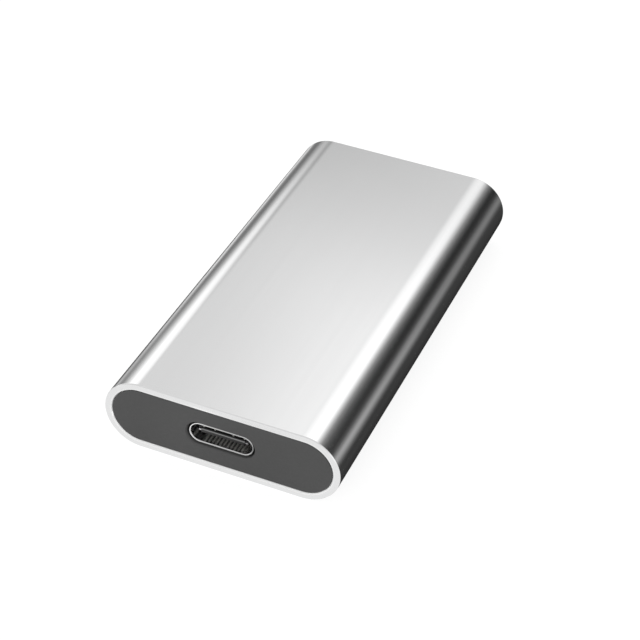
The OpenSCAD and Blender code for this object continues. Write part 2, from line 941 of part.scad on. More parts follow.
// Soldered nut: a shoulder that carries the module and a pin in the board's hole
module module_nut() {
    color(steel)
        translate([0, nut_y, 0])
            difference() {
                union() {
                    translate([0, 0, board_top])
                        cylinder(h = module_gap, d = nut_d);
                    translate([0, 0, board_z])
                        cylinder(h = board_t + module_gap / 2, d = nut_pin_d);
                }
                translate([0, 0, board_z - overrun])
                    cylinder(h = board_t + module_gap + 2 * overrun, d = screw_d + 2 * nut_bore_fit);
            }
}

module module_screw() {
    color(steel)
        translate([0, nut_y, module_top])
            difference() {
                union() {
                    cylinder(h = screw_head_h, d = screw_head_d);
                    translate([0, 0, -screw_l])
                        cylinder(h = screw_l + screw_head_h / 2, d = screw_d);
                }
                for (turn = [0, 90])
                    rotate([0, 0, turn])
                        block(0, 0, screw_head_h - cross_depth, [cross_l, cross_w, cross_depth + overrun]);
            }
}

module module_board() {
    key_end = module_front + key_l - key_w / 2;
    color(solder_mask)
        translate([0, 0, module_z])
            linear_extrude(module_t)
                difference() {
                    polygon([
                        [-edge_w / 2 + edge_bevel, module_front],
                        [edge_w / 2 - edge_bevel, module_front],
                        [edge_w / 2, module_front + edge_bevel],
                        [edge_w / 2, module_front + edge_l],
                        [module_w / 2, module_front + edge_l],
                        [module_w / 2, nut_y],
                        [-module_w / 2, nut_y],
                        [-module_w / 2, module_front + edge_l],
                        [-edge_w / 2, module_front + edge_l],
                        [-edge_w / 2, module_front + edge_bevel]
                    ]);
                    translate([key_x, (module_front - overrun + key_end) / 2])
                        square([key_w, key_end - module_front + overrun], center = true);
                    translate([key_x, key_end])
                        circle(d = key_w);
                    translate([0, nut_y])
                        circle(r = half_moon_r);
                }
}

module module_fingers() {
    finger_y = module_front + finger_tip + finger_l / 2;
    color(gold) {
        for (x = upper_row)
            block(x, finger_y, module_top, [finger_w, finger_l, finger_t]);
        for (x = lower_row)
            block(x, finger_y, module_z - finger_t, [finger_w, finger_l, finger_t]);
    }
}

module controller_chip() {
    color(chip_black)
        package(0, controller_y, module_top, [controller_w, controller_w, chip_h]);
}

module flash_chips() {
    color(chip_black)
        for (i = [0:flash_count - 1])
            package(0, flash_first_y + i * flash_pitch, module_top, [flash_w, flash_l, chip_h]);
}

module power_chip() {
    color(chip_black)
        package(power_chip_share[0] * module_w, module_front + power_chip_share[1] * module_l,
            module_top, power_chip_size);
}

module module_capacitors() {
    color(ceramic_tan)
        for (p = module_cap_shares)
            banded_block(p[0] * module_w, module_front + p[1] * module_l, module_top, p[2],
                module_cap_size);
}

// Soft pad that carries heat from the module's chips to the top of the tube
module thermal_pad() {
    pad_front = controller_y - controller_w / 2;
    color(pad_blue)
        block(0, (pad_front + flash_end_y) / 2, chip_top,
            [flash_w + 2 * pad_side, flash_end_y - pad_front, bore_ceiling - chip_top]);
}

// Film on the floor of the tube, below the board's solder joints
module insulating_film() {
    color(film_amber)
        block(0, 0, bore_floor, [film_w, body_l - 2 * (seat_l + film_end), film_t]);
}

tube();
front_cap();
rear_cap();
usb_c_shell();
usb_c_tongue();
usb_c_mid_plate();
usb_c_upper_contacts();
usb_c_lower_contacts();
bridge_board();
bridge_chip();
firmware_chip();
crystal_can();
surge_arrays();
power_inductors();
power_switch();
board_capacitors();
board_resistors();
module_socket();
socket_contacts();
module_nut();
module_screw();
module_board();
module_fingers();
controller_chip();
flash_chips();
power_chip();
module_capacitors();
thermal_pad();
insulating_film();
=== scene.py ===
import json
import math

import bpy
import bmesh
from mathutils import Matrix, Vector


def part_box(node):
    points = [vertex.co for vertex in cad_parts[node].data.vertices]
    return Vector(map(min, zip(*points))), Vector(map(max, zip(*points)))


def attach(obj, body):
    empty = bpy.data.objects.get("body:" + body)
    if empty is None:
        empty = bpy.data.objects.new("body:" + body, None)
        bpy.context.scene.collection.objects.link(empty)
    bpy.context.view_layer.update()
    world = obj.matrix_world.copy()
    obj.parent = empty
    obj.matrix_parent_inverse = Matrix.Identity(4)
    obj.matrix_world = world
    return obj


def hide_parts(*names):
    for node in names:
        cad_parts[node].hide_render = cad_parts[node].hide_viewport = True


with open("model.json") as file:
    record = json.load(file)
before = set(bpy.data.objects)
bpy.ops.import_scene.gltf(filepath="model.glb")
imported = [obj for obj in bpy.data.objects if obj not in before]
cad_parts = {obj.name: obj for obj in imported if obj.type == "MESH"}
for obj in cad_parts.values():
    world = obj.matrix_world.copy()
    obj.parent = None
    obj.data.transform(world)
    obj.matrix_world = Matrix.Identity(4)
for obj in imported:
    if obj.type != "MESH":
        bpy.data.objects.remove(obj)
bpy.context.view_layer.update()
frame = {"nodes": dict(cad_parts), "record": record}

# Sizes are in millimetres, as in the part's source, and MM turns them into metres
MM = 0.001
scene = bpy.context.scene

# Body, worked out from the frame. SIDE_X is the middle of a half-round side.
tube_lo, tube_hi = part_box("tube")
BODY_W = (tube_hi.x - tube_lo.x) / MM
BODY_H = (tube_hi.z - tube_lo.z) / MM
FRONT_Y = tube_lo.y / MM
BACK_Y = tube_hi.y / MM
MID_Z = BODY_H / 2
SIDE_X = (BODY_W - BODY_H) / 2

# Tube. MOUTH_HIGHLIGHT_LINE is how far a painted highlight, whiter and less metallic than the polish, reaches
# past each end's inner bevel onto the rim.
TUBE_WALL = 1.1
SEAT_CUT = 0.1
RIM_BEVEL = 0.12
MOUTH_BEVEL = 0.14
MOUTH_HIGHLIGHT_LINE = 0.11
RAIL_T = 0.6
RAIL_BITE = 1.0
BORE_W = BODY_W - 2 * TUBE_WALL
BORE_H = BODY_H - 2 * TUBE_WALL
SEAT_W = BORE_W + 2 * SEAT_CUT
SEAT_H = BORE_H + 2 * SEAT_CUT

# End caps
CAP_FACE_T = 1.6
CAP_INSET = 0.0
CAP_BEVEL = 0.12
CAP_GAP = 0.04
SKIRT_L = 3.6
SKIRT_T = 0.9
SKIRT_GAP = 0.15
SKIRT_ROOT = 0.8
SNAP_W = 7.0
SNAP_SLOT = 0.6
SNAP_R = 0.45
SNAP_BITE = 0.25
SNAP_END = 1.0
SNAP_SIDE_RUN = 0.15
SEAT_RUN = 0.2
COLLAR_T = 0.7
COLLAR_L = 1.1
APERTURE_BEVEL = 0.15
FACE_Y = FRONT_Y + CAP_INSET
FACE_BACK_Y = FACE_Y + CAP_FACE_T
SKIRT_Y = FACE_BACK_Y - CAP_BEVEL
SKIRT_BACK_Y = FACE_BACK_Y + SKIRT_L
SNAP_Y = SKIRT_BACK_Y - SNAP_END
SEAT_L = CAP_INSET + CAP_FACE_T + SKIRT_L + SEAT_RUN

# Type C socket. The shell's floor ends TAIL_OPENING before its back, for the contacts' tails.
shell_lo, shell_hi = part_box("usb_c_shell")
SOCKET_W = (shell_hi.x - shell_lo.x) / MM
SOCKET_H = 3.06
SOCKET_WALL = 0.25
SOCKET_GAP = 0.22
SOCKET_Y = shell_lo.y / MM
SOCKET_BACK_Y = shell_hi.y / MM
SOCKET_Z = shell_hi.z / MM - SOCKET_H / 2
SOCKET_FOOT_Z = shell_lo.z / MM
LIP_BEVEL = 0.08
TAIL_OPENING = 0.9
TAIL_CLEAR = 0.02
TONGUE_INSET = 0.5
TONGUE_T = 0.7
TONGUE_BEVEL = 0.15
LEG_W = 1.1
LEG_T = 0.25
LEG_INSET = 0.03
LEG_SHARES = (0.33, 0.86)

# Circuit board
board_lo, board_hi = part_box("bridge_board")
BOARD_Z = board_lo.z / MM
BOARD_TOP = board_hi.z / MM
BOARD_HALF = board_hi.x / MM
BOARD_GAP = 0.08
RAIL_X = BOARD_HALF - RAIL_BITE

# How finely round forms are drawn, and the radius that softens each kind of edge. EDGE_SUPPORT is how far from
# a half-round side the flat beside it has its last points, and RAIL_CORNER how far from a rail the bore has its.
ARC_STEPS = 72
SOCKET_STEPS = 32
FILLET_STEPS = 4
FILLET_SHARE = 0.45
METAL_EDGE = 0.05
PLASTIC_EDGE = 0.06
SHELL_EDGE = 0.06
EDGE_SUPPORT = 0.12
RAIL_CORNER = math.radians(0.25)
SHARP_ANGLE = math.radians(28)

# How far a cutter runs past what it cuts: along Y, before a skirt's room, and along Z
CUT_PAST = 0.5
ROOM_PAST = 0.3
CUT_DEEP = 1.0

# Camera, fitted to the outline of the object, its dark end and its socket. Its distance and the point that it
# looks at are in widths of the body, and its clip distances in metres.
CAM_AZ = math.radians(20.973)
CAM_EL = math.radians(37.568)
CAM_ROLL = math.radians(2.959)
CAM_DIST = 7.6565
CAM_X = -0.0028
CAM_Y = 0.0741
FOCAL_PX = 1799.07
IMAGE_PX = 640
SENSOR = 36.0
CLIP_NEAR = 0.01
CLIP_FAR = 20


def add_camera():
    flat = math.cos(CAM_EL)
    back = Vector((math.sin(CAM_AZ) * flat, -math.cos(CAM_AZ) * flat, math.sin(CAM_EL)))
    right = Vector((math.cos(CAM_AZ), math.sin(CAM_AZ), 0))
    up = back.cross(right)
    c, s = math.cos(CAM_ROLL), math.sin(CAM_ROLL)
    cam_x = c * right + s * up
    cam_y = -s * right + c * up
    centre = Vector((0, 0, MID_Z * MM))
    place = centre - (CAM_X * cam_x + CAM_Y * cam_y - CAM_DIST * back) * BODY_W * MM
    data = bpy.data.cameras.new("camera")
    data.sensor_width = SENSOR
    data.lens = FOCAL_PX / IMAGE_PX * SENSOR
    data.clip_start = CLIP_NEAR
    data.clip_end = CLIP_FAR
    cam = bpy.data.objects.new("camera", data)
    scene.collection.objects.link(cam)
    turn = Matrix((cam_x, cam_y, back)).transposed()
    cam.matrix_world = Matrix.Translation(place) @ turn.to_4x4()
    scene.camera = cam


# Mesh helpers

def fillet(points, radii):
    """Rounds each corner of an open polyline of 2D points by its radius, where 0 leaves it as it is."""
    out = []
    for i, (point, r) in enumerate(zip(points, radii)):
        p = Vector(point)
        if r == 0:
            out.append(tuple(p))
            continue
        a = Vector(points[i - 1]) - p
        b = Vector(points[i + 1]) - p
        la, lb = a.length, b.length
        a.normalize()
        b.normalize()
        half = a.angle(b) / 2
        cut = min(r / math.tan(half), FILLET_SHARE * la, FILLET_SHARE * lb)
        r = cut * math.tan(half)
        centre = p + (a + b).normalized() * (r / math.sin(half))
        start = p + a * cut - centre
        end = p + b * cut - centre
        a0 = math.atan2(start.y, start.x)
        turn = math.atan2(end.y, end.x) - a0
        turn = (turn + math.pi) % (2 * math.pi) - math.pi
        for k in range(FILLET_STEPS + 1):
            ang = a0 + turn * k / FILLET_STEPS
            out.append((centre.x + r * math.cos(ang), centre.y + r * math.sin(ang)))
    return out


def half_round(r, steps):
    """Points (x, z) of a half circle on the side of +X, from its top down."""
    turns = [math.pi * i / steps for i in range(steps + 1)]
    return [(r * math.sin(a), r * math.cos(a)) for a in turns]


def stadium(w, h, z, inset, steps):
    """Points (x, z) of a flat-topped outline with half-round sides, from the top left clockwise."""
    flat = (w - h) / 2
    r = h / 2 - inset
    side = half_round(r, steps)
    pts = [(EDGE_SUPPORT - flat, z + r), (flat - EDGE_SUPPORT, z + r)]
    pts += [(flat + dx, z + dz) for dx, dz in side]
    pts += [(flat - EDGE_SUPPORT, z - r), (EDGE_SUPPORT - flat, z - r)]
    pts += [(-flat - dx, z - dz) for dx, dz in side]
    return pts


def mesh_object(name, bm):
    bmesh.ops.recalc_face_normals(bm, faces=bm.faces)
    mesh = bpy.data.meshes.new(name)
    bm.to_mesh(mesh)
    bm.free()
    obj = bpy.data.objects.new(name, mesh)
    scene.collection.objects.link(obj)
    return obj


def new_object(name, bm, material):
    """Finished piece of the object, or of the studio, without one."""
    obj = mesh_object(name, bm)
    mesh = obj.data
    mesh.polygons.foreach_set("use_smooth", [True] * len(mesh.polygons))
    mesh.set_sharp_from_angle(angle=SHARP_ANGLE)
    mesh.materials.append(material)
    return obj


def add_rings(bm, rings, capped=False):
    """Joins rings of 3D points in millimetres with quads, and caps the ends or joins the last to the first."""
    rows = [[bm.verts.new(Vector(p) * MM) for p in ring] for ring in rings]
    pairs = list(zip(rows, rows[1:]))
    if not capped:
        pairs.append((rows[-1], rows[0]))
    for one, two in pairs:
        n = len(one)
        for i in range(n):
            j = (i + 1) % n
            bm.faces.new((one[i], one[j], two[j], two[i]))
    if capped:
        bm.faces.new(rows[0])
        bm.faces.new(rows[-1])


def bar_rings(w, h, z, stations, steps):
    """Rings of a bar along Y, where each station is (y, inset)."""
    return [[(x, y, zz) for x, zz in stadium(w, h, z, inset, steps)] for y, inset in stations]


def bar_object(name, w, h, z, y0, y1, steps):
    """Solid bar along Y with flat ends."""
    bm = bmesh.new()
    add_rings(bm, bar_rings(w, h, z, [(y0, 0), (y1, 0)], steps), capped=True)
    return mesh_object(name, bm)


def add_box(bm, x, y, z, size):
    """Box centred on x and y that stands on z."""
    sx, sy, sz = size
    made = bmesh.ops.create_cube(bm, size=1)
    for v in made["verts"]:
        v.co = Vector((x + v.co.x * sx, y + v.co.y * sy, z + (v.co.z + 0.5) * sz)) * MM


def box_object(name, x, y, z, size):
    bm = bmesh.new()
    add_box(bm, x, y, z, size)
    return mesh_object(name, bm)


def boolean(obj, other, operation):
    """Cuts or joins other with obj and removes other."""
    mod = obj.modifiers.new("cut", "BOOLEAN")
    mod.operation = operation
    mod.solver = "EXACT"
    mod.object = other
    dg = bpy.context.evaluated_depsgraph_get()
    mesh = bpy.data.meshes.new_from_object(obj.evaluated_get(dg))
    obj.modifiers.clear()
    old = obj.data
    obj.data = mesh
    bpy.data.meshes.remove(old)
    bpy.data.objects.remove(other)


def take_mesh(obj):
    """Form of a scratch object, which is removed."""
    bm = bmesh.new()
    bm.from_mesh(obj.data)
    bpy.data.objects.remove(obj)
    return bm


# Materials. A noise lies mostly between NOISE_LOW and NOISE_HIGH, and a sum of two between MIX_LOW and MIX_HIGH.
NOISE_LOW = 0.3
NOISE_HIGH = 0.7
MIX_LOW = 0.35
MIX_HIGH = 0.65


def grey(value):
    return (value, value, value)


def rgba(color):
    """A colour with its alpha, or the socket that gives one."""
    return color if isinstance(color, bpy.types.NodeSocket) else (*color, 1)


class Nodes:
    """Short calls for the nodes of one material."""

    def __init__(self, name):
        self.material = bpy.data.materials.new(name)
        self.material.use_nodes = True
        self.tree = self.material.node_tree
        self.tree.nodes.clear()
        self.out = self.tree.nodes.new("ShaderNodeOutputMaterial")
        self.coord = None

    def give(self, socket, value):
        """Links a socket to another, or sets it to a constant."""
        if isinstance(value, bpy.types.NodeSocket):
            self.tree.links.new(value, socket)
        else:
            socket.default_value = value

    def node(self, kind, **inputs):
        made = self.tree.nodes.new(kind)
        for key, value in inputs.items():
            self.give(made.inputs[key.replace("_", " ")], value)
        return made

    def scaled(self, x, y, z):
        """Object coordinates where one unit is x, y and z millimetres."""
        if self.coord is None:
            self.coord = self.tree.nodes.new("ShaderNodeTexCoord").outputs["Object"]
        made = self.node("ShaderNodeMapping", Vector=self.coord, Scale=(1 / (x * MM), 1 / (y * MM), 1 / (z * MM)))
        return made.outputs["Vector"]

    def position(self, unit=1):
        """A point's x, y and z, where one unit is that many millimetres."""
        return self.node("ShaderNodeSeparateXYZ", Vector=self.scaled(unit, unit, unit)).outputs

    def noise(self, grain, along=None, detail=3.0, rough=0.55):
        """Noise with a grain of so many millimetres, and of another length along Y where one is given."""
        made = self.node("ShaderNodeTexNoise", Vector=self.scaled(grain, along or grain, grain), Scale=1.0,
                         Detail=detail, Roughness=rough)
        return made.outputs["Fac"]

    def fit(self, value, a, b, c, d):
        """Maps value from the span a to b onto the span c to d."""
        made = self.node("ShaderNodeMapRange", Value=value, From_Min=a, From_Max=b, To_Min=c, To_Max=d)
        return made.outputs["Result"]

    def spread(self, noise, c, d):
        """Maps a noise onto the span c to d."""
        return self.fit(noise, NOISE_LOW, NOISE_HIGH, c, d)

    def math(self, op, a, b=0.0):
        made = self.tree.nodes.new("ShaderNodeMath")
        made.operation = op
        self.give(made.inputs[0], a)
        self.give(made.inputs[1], b)
        return made.outputs[0]

    def blend(self, a, b, share):
        """Sum of a and b, of which a has the given share."""
        return self.math("ADD", self.math("MULTIPLY", a, share), self.math("MULTIPLY", b, 1 - share))

    def mix(self, share, a, b):
        """Goes from colour a to colour b as share goes from 0 to 1."""
        made = self.tree.nodes.new("ShaderNodeMix")
        made.data_type = "RGBA"
        for key, value in ((0, share), (6, rgba(a)), (7, rgba(b))):
            self.give(made.inputs[key], value)
        return made.outputs[2]

    def bump(self, height, depth, normal=None):
        """Bump whose height of 1 is depth millimetres."""
        made = self.node("ShaderNodeBump", Strength=1.0, Distance=depth * MM, Height=height)
        if normal is not None:
            self.give(made.inputs["Normal"], normal)
        return made.outputs["Normal"]

    def finish(self, color, roughness, normal, metallic=0.0, **fixed):
        """Ends the material in a surface, with constants for its other sockets."""
        return self.show(self.node("ShaderNodeBsdfPrincipled", Base_Color=rgba(color), Roughness=roughness,
                                   Normal=normal, Metallic=metallic, **fixed))

    def glow(self, color, strength=1.0):
        """Ends the material in plain light."""
        return self.show(self.node("ShaderNodeEmission", Color=rgba(color), Strength=strength))

    def show(self, shader):
        self.tree.links.new(shader.outputs[0], self.out.inputs["Surface"])
        return self.material


# Tube's finish: its darkest and lightest colour with their roughness, how far clouds change that, and the whiter,
# less metallic colour of its mouths, which is a painted highlight
POLISH_DARK = (0.888, 0.889, 0.891)
POLISH_LIGHT = (0.912, 0.913, 0.914)
POLISH_ROUGH_DARK = 0.165
POLISH_ROUGH_LIGHT = 0.145
POLISH_CLOUD = 0.008
MOUTH_HIGHLIGHT_GREY = 0.95
MOUTH_HIGHLIGHT_METALLIC = 0.3


def tube_metal():
    """Polished, clear anodised extrusion with faint drawing lines, and at each end a painted highlight: bore,
    bevel and a thin band of the rim whiter and less metallic.
    """
    m = Nodes("polished_aluminium")
    lines = m.noise(0.09, 60, detail=4, rough=0.6)
    wide_lines = m.noise(0.9, 140, detail=2)
    cloud = m.noise(9, 14, detail=2)
    tone = m.blend(lines, wide_lines, 0.5)
    polished = m.mix(m.spread(tone, 0, 1), POLISH_DARK, POLISH_LIGHT)
    rough = m.math("ADD", m.spread(tone, POLISH_ROUGH_DARK, POLISH_ROUGH_LIGHT),
                   m.spread(cloud, -POLISH_CLOUD, POLISH_CLOUD))
    # How far a point lies from the flat core between the middle lines of the half-round sides
    x, _, z = m.position()
    side = m.math("MAXIMUM", m.math("SUBTRACT", m.math("ABSOLUTE", x), SIDE_X), 0.0)
    rise = m.math("SUBTRACT", z, MID_Z)
    reach = m.math("SQRT", m.math("ADD", m.math("MULTIPLY", side, side), m.math("MULTIPLY", rise, rise)))
    # Within that reach the metal is whiter and less metallic: a painted highlight along each end's bevelled inner
    # edge.
    mouth_highlight = m.math("LESS_THAN", reach, SEAT_H / 2 + MOUTH_BEVEL + MOUTH_HIGHLIGHT_LINE)
    color = m.mix(mouth_highlight, polished, grey(MOUTH_HIGHLIGHT_GREY))
    grain = m.bump(wide_lines, 0.0002, m.bump(lines, 0.00015))
    return m.finish(color, rough, grain, metallic=m.fit(mouth_highlight, 0, 1, 1.0, MOUTH_HIGHLIGHT_METALLIC))


# Painted highlight on the upper front edge of the tongue: how far back it goes, and how softly it ends
TONGUE_HIGHLIGHT_W = 0.06
TONGUE_HIGHLIGHT_FADE = 0.03


def tongue_highlight_mask(m):
    """1 where a highlight is painted on the tongue's upper front edge, and 0 elsewhere."""
    _, y, z = m.position()
    back = SOCKET_Y + TONGUE_INSET + TONGUE_HIGHLIGHT_W
    low = SOCKET_Z + TONGUE_T / 2 - TONGUE_BEVEL - TONGUE_HIGHLIGHT_FADE
    return m.math("MULTIPLY", m.fit(y, back + TONGUE_HIGHLIGHT_FADE, back, 0, 1), m.fit(z, low, low + TONGUE_HIGHLIGHT_FADE, 0, 1))


def moulded(name, dark, light, rough, grain, depth, specular=0.5, edge_highlight=None):
    """Moulded resin with a fine spark-eroded grain and slight flow clouds, and a painted highlight on the
    tongue's upper front edge where given.
    """
    m = Nodes(name)
    cloud = m.noise(6)
    fine = m.noise(grain, rough=0.6)
    speck = m.noise(grain * 4, detail=2)
    color = m.mix(m.fit(m.blend(cloud, fine, 0.6), MIX_LOW, MIX_HIGH, 0, 1), dark, light)
    # Lighter grey on the tongue's upper front edge: a painted highlight.
    if edge_highlight:
        color = m.mix(m.math("MULTIPLY", tongue_highlight_mask(m), m.spread(fine, 0.8, 1)), color, edge_highlight)
    roughness = m.spread(speck, rough - 0.05, rough + 0.05)
    normal = m.bump(speck, depth, m.bump(fine, depth))
    return m.finish(color, roughness, normal, Specular_IOR_Level=specular)


# Inside of the socket's shell: where its brighter metal starts and is full, behind the lip
INSIDE_START = 0.2
INSIDE_FULL = 0.6
INSIDE_GREY = 0.88


def plated(name, dark, light, rough, along, depth, metallic=1.0, inner=None):
    """Plated sheet metal with fine rolling lines, and a brighter inside where inner gives its roughness."""
    m = Nodes(name)
    lines = m.noise(0.05, along, rough=0.6)
    cloud = m.noise(1.5)
    color = m.mix(m.fit(m.blend(lines, cloud, 0.5), MIX_LOW, MIX_HIGH, 0, 1), dark, light)
    roughness = m.spread(cloud, rough - 0.04, rough + 0.04)
    if inner:
        _, y, _ = m.position()
        deep = m.fit(y, SOCKET_Y + INSIDE_START, SOCKET_Y + INSIDE_FULL, 0, 1)
        roughness = m.math("ADD", roughness, m.math("MULTIPLY", deep, inner - rough))
        color = m.mix(deep, color, grey(INSIDE_GREY))
    return m.finish(color, roughness, m.bump(lines, depth), metallic=metallic)


def laminate():
    """Solder mask over glass cloth with a pitch of half a millimetre, and over copper runs."""
    m = Nodes("solder_mask_laminate")
    x, y, _ = m.position(0.5)
    warp = m.math("SINE", m.math("MULTIPLY", x, math.tau))
    weft = m.math("SINE", m.math("MULTIPLY", y, math.tau))
    runs = m.node("ShaderNodeTexBrick", Vector=m.scaled(1, 1, 1), Scale=1.0, Mortar_Size=0.08,
                  Mortar_Smooth=0.3, Brick_Width=2.6, Row_Height=0.55)
    copper = m.math("SUBTRACT", 1.0, runs.outputs["Fac"])
    cloud = m.noise(4)
    base = m.mix(m.spread(cloud, 0, 1), (0.008, 0.045, 0.03), (0.012, 0.06, 0.04))
    color = m.mix(m.math("MULTIPLY", copper, 0.45), base, (0.03, 0.12, 0.075))
    normal = m.bump(copper, 0.02, m.bump(m.math("MULTIPLY", warp, weft), 0.004))
    return m.finish(color, m.spread(cloud, 0.28, 0.4), normal)


def ceramic():
    """Fired ceramic bodies of the small parts."""
    m = Nodes("fired_ceramic")
    cloud = m.noise(0.6, detail=4)
    fine = m.noise(0.06)
    color = m.mix(m.spread(cloud, 0, 1), (0.30, 0.20, 0.12), (0.40, 0.28, 0.17))
    return m.finish(color, m.spread(fine, 0.3, 0.45), m.bump(fine, 0.002))


def soft_pad():
    """Silicone heat pad with filler grains."""
    m = Nodes("silicone_pad")
    cloud = m.noise(3, detail=4)
    filler = m.noise(0.12, rough=0.7)
    color = m.mix(m.spread(filler, 0, 1), (0.17, 0.27, 0.36), (0.24, 0.35, 0.45))
    return m.finish(color, m.spread(cloud, 0.6, 0.75), m.bump(filler, 0.012))


def amber_film():
    """Polyimide film, with faint streaks from casting."""
    m = Nodes("polyimide_film")
    streak = m.noise(1.2, 30)
    fine = m.noise(0.1, detail=2)
    color = m.mix(m.spread(streak, 0, 1), (0.42, 0.20, 0.03), (0.55, 0.28, 0.05))
    return m.finish(color, m.spread(fine, 0.2, 0.3), m.bump(streak, 0.003))


MATERIALS = {
    "tube_metal": tube_metal(),
    "cap_plastic": moulded("dark_grey_moulding", grey(0.068), grey(0.072), rough=0.62, grain=0.09, depth=0.0018,
                           specular=0.35),
    "socket_steel": plated("bright_nickel", grey(0.60), grey(0.66), rough=0.17, along=6, depth=0.0004,
                           inner=0.18),
    # Its lighter grey on the tongue's upper front edge is a painted highlight.
    "socket_resin": moulded("black_moulding", grey(0.010), grey(0.016), rough=0.4, grain=0.05, depth=0.0008,
                            edge_highlight=grey(0.3)),
    "plated_steel": plated("satin_plated_steel", (0.58, 0.58, 0.59), (0.70, 0.70, 0.71), rough=0.32, along=3,
                           depth=0.001),
    "contact_metal": plated("pale_gold_plate", (0.80, 0.785, 0.755), (0.87, 0.855, 0.825), rough=0.35,
                            along=1.5, depth=0.0003, metallic=0.3),
    "board_laminate": laminate(),
    "chip_resin": moulded("chip_moulding", (0.012, 0.012, 0.013), (0.022, 0.022, 0.023), rough=0.55, grain=0.05,
                          depth=0.0015),
    "coil_ferrite": moulded("pressed_ferrite", (0.045, 0.045, 0.048), (0.075, 0.075, 0.08), rough=0.6,
                            grain=0.12, depth=0.006),
    "small_part_ceramic": ceramic(),
    "heat_pad": soft_pad(),
    "film": amber_film(),
}


# Visible pieces, each true to its CAD node and with its edges softened

def rail_outline():
    """Points of the bore with two rails on each side, and the matching points of the plain seat."""
    r = BORE_H / 2
    seat_r = r + SEAT_CUT
    lows = (BOARD_Z - BOARD_GAP - RAIL_T, BOARD_TOP + BOARD_GAP)
    spans = sorted((z - MID_Z, z + RAIL_T - MID_Z) for z in lows)
    # Each sample is an angle from the top, and the height of a rail's edge where it is one
    samples = [(math.pi * i / ARC_STEPS, None) for i in range(ARC_STEPS + 1)]
    edges = []
    for low, high in spans:
        top, bottom = math.acos(high / r), math.acos(low / r)
        samples = [s for s in samples if not top - 2 * RAIL_CORNER < s[0] < bottom + 2 * RAIL_CORNER]
        edges += [(top - RAIL_CORNER, None), (top, high), (bottom, low), (bottom + RAIL_CORNER, None)]
    bore, seat = [], []
    for ang, z in sorted(samples + edges):
        seat.append((SIDE_X + seat_r * math.sin(ang), seat_r * math.cos(ang)))
        bore.append((RAIL_X, z) if z is not None else (SIDE_X + r * math.sin(ang), r * math.cos(ang)))
    return bore, seat


def build_tube():
    """The extrusion with its bevelled ends, milled seats, snap grooves and rails, as one closed form."""
    bore, seat = rail_outline()
    angles = [math.atan2(x - SIDE_X, z) for x, z in seat]

    def ring(y, half, r):
        """Closed ring from its right half and the height of its flat top."""
        last = SIDE_X - EDGE_SUPPORT
        pts = [(-last, r), (last, r)] + half + [(last, -r), (-last, -r)] + [(-x, z) for x, z in reversed(half)]
        return [(x, y, MID_Z + z) for x, z in pts]

    def plain_ring(y, inset):
        r = BODY_H / 2 - inset
        return ring(y, [(SIDE_X + r * math.sin(a), r * math.cos(a)) for a in angles], r)

    # One end as (distance from the rim, inset, radius), from the seat's bottom out over the rim
    seat_in = TUBE_WALL - SEAT_CUT
    groove_half = SNAP_R + SNAP_SIDE_RUN
    groove = SNAP_BITE - SKIRT_GAP
    snap = SNAP_Y - FRONT_Y
    end = [
        (SEAT_L, seat_in, 0), (snap + groove_half, seat_in, 0),
        (snap + groove_half - groove, seat_in - groove, 0), (snap - groove_half + groove, seat_in - groove, 0),
        (snap - groove_half, seat_in, 0), (MOUTH_BEVEL, seat_in, METAL_EDGE / 2),
        (0, seat_in - MOUTH_BEVEL, METAL_EDGE / 2), (0, RIM_BEVEL, METAL_EDGE), (RIM_BEVEL, 0, METAL_EDGE),
        (2 * RIM_BEVEL, 0, 0)
    ]
    chain = fillet([(y, inset) for y, inset, _ in end], [r for _, _, r in end])
    front = [(FRONT_Y + y, inset) for y, inset in chain]
    back = [(BACK_Y - y, inset) for y, inset in reversed(chain)]
    rings = [ring(FRONT_Y + SEAT_L, bore, BORE_H / 2)] + [plain_ring(y, inset) for y, inset in front + back]
    rings.append(ring(BACK_Y - SEAT_L, bore, BORE_H / 2))
    bm = bmesh.new()
    add_rings(bm, rings)
    obj = new_object("tube_shell", bm, MATERIALS["tube_metal"])
    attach(obj, "root")
    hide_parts("tube")


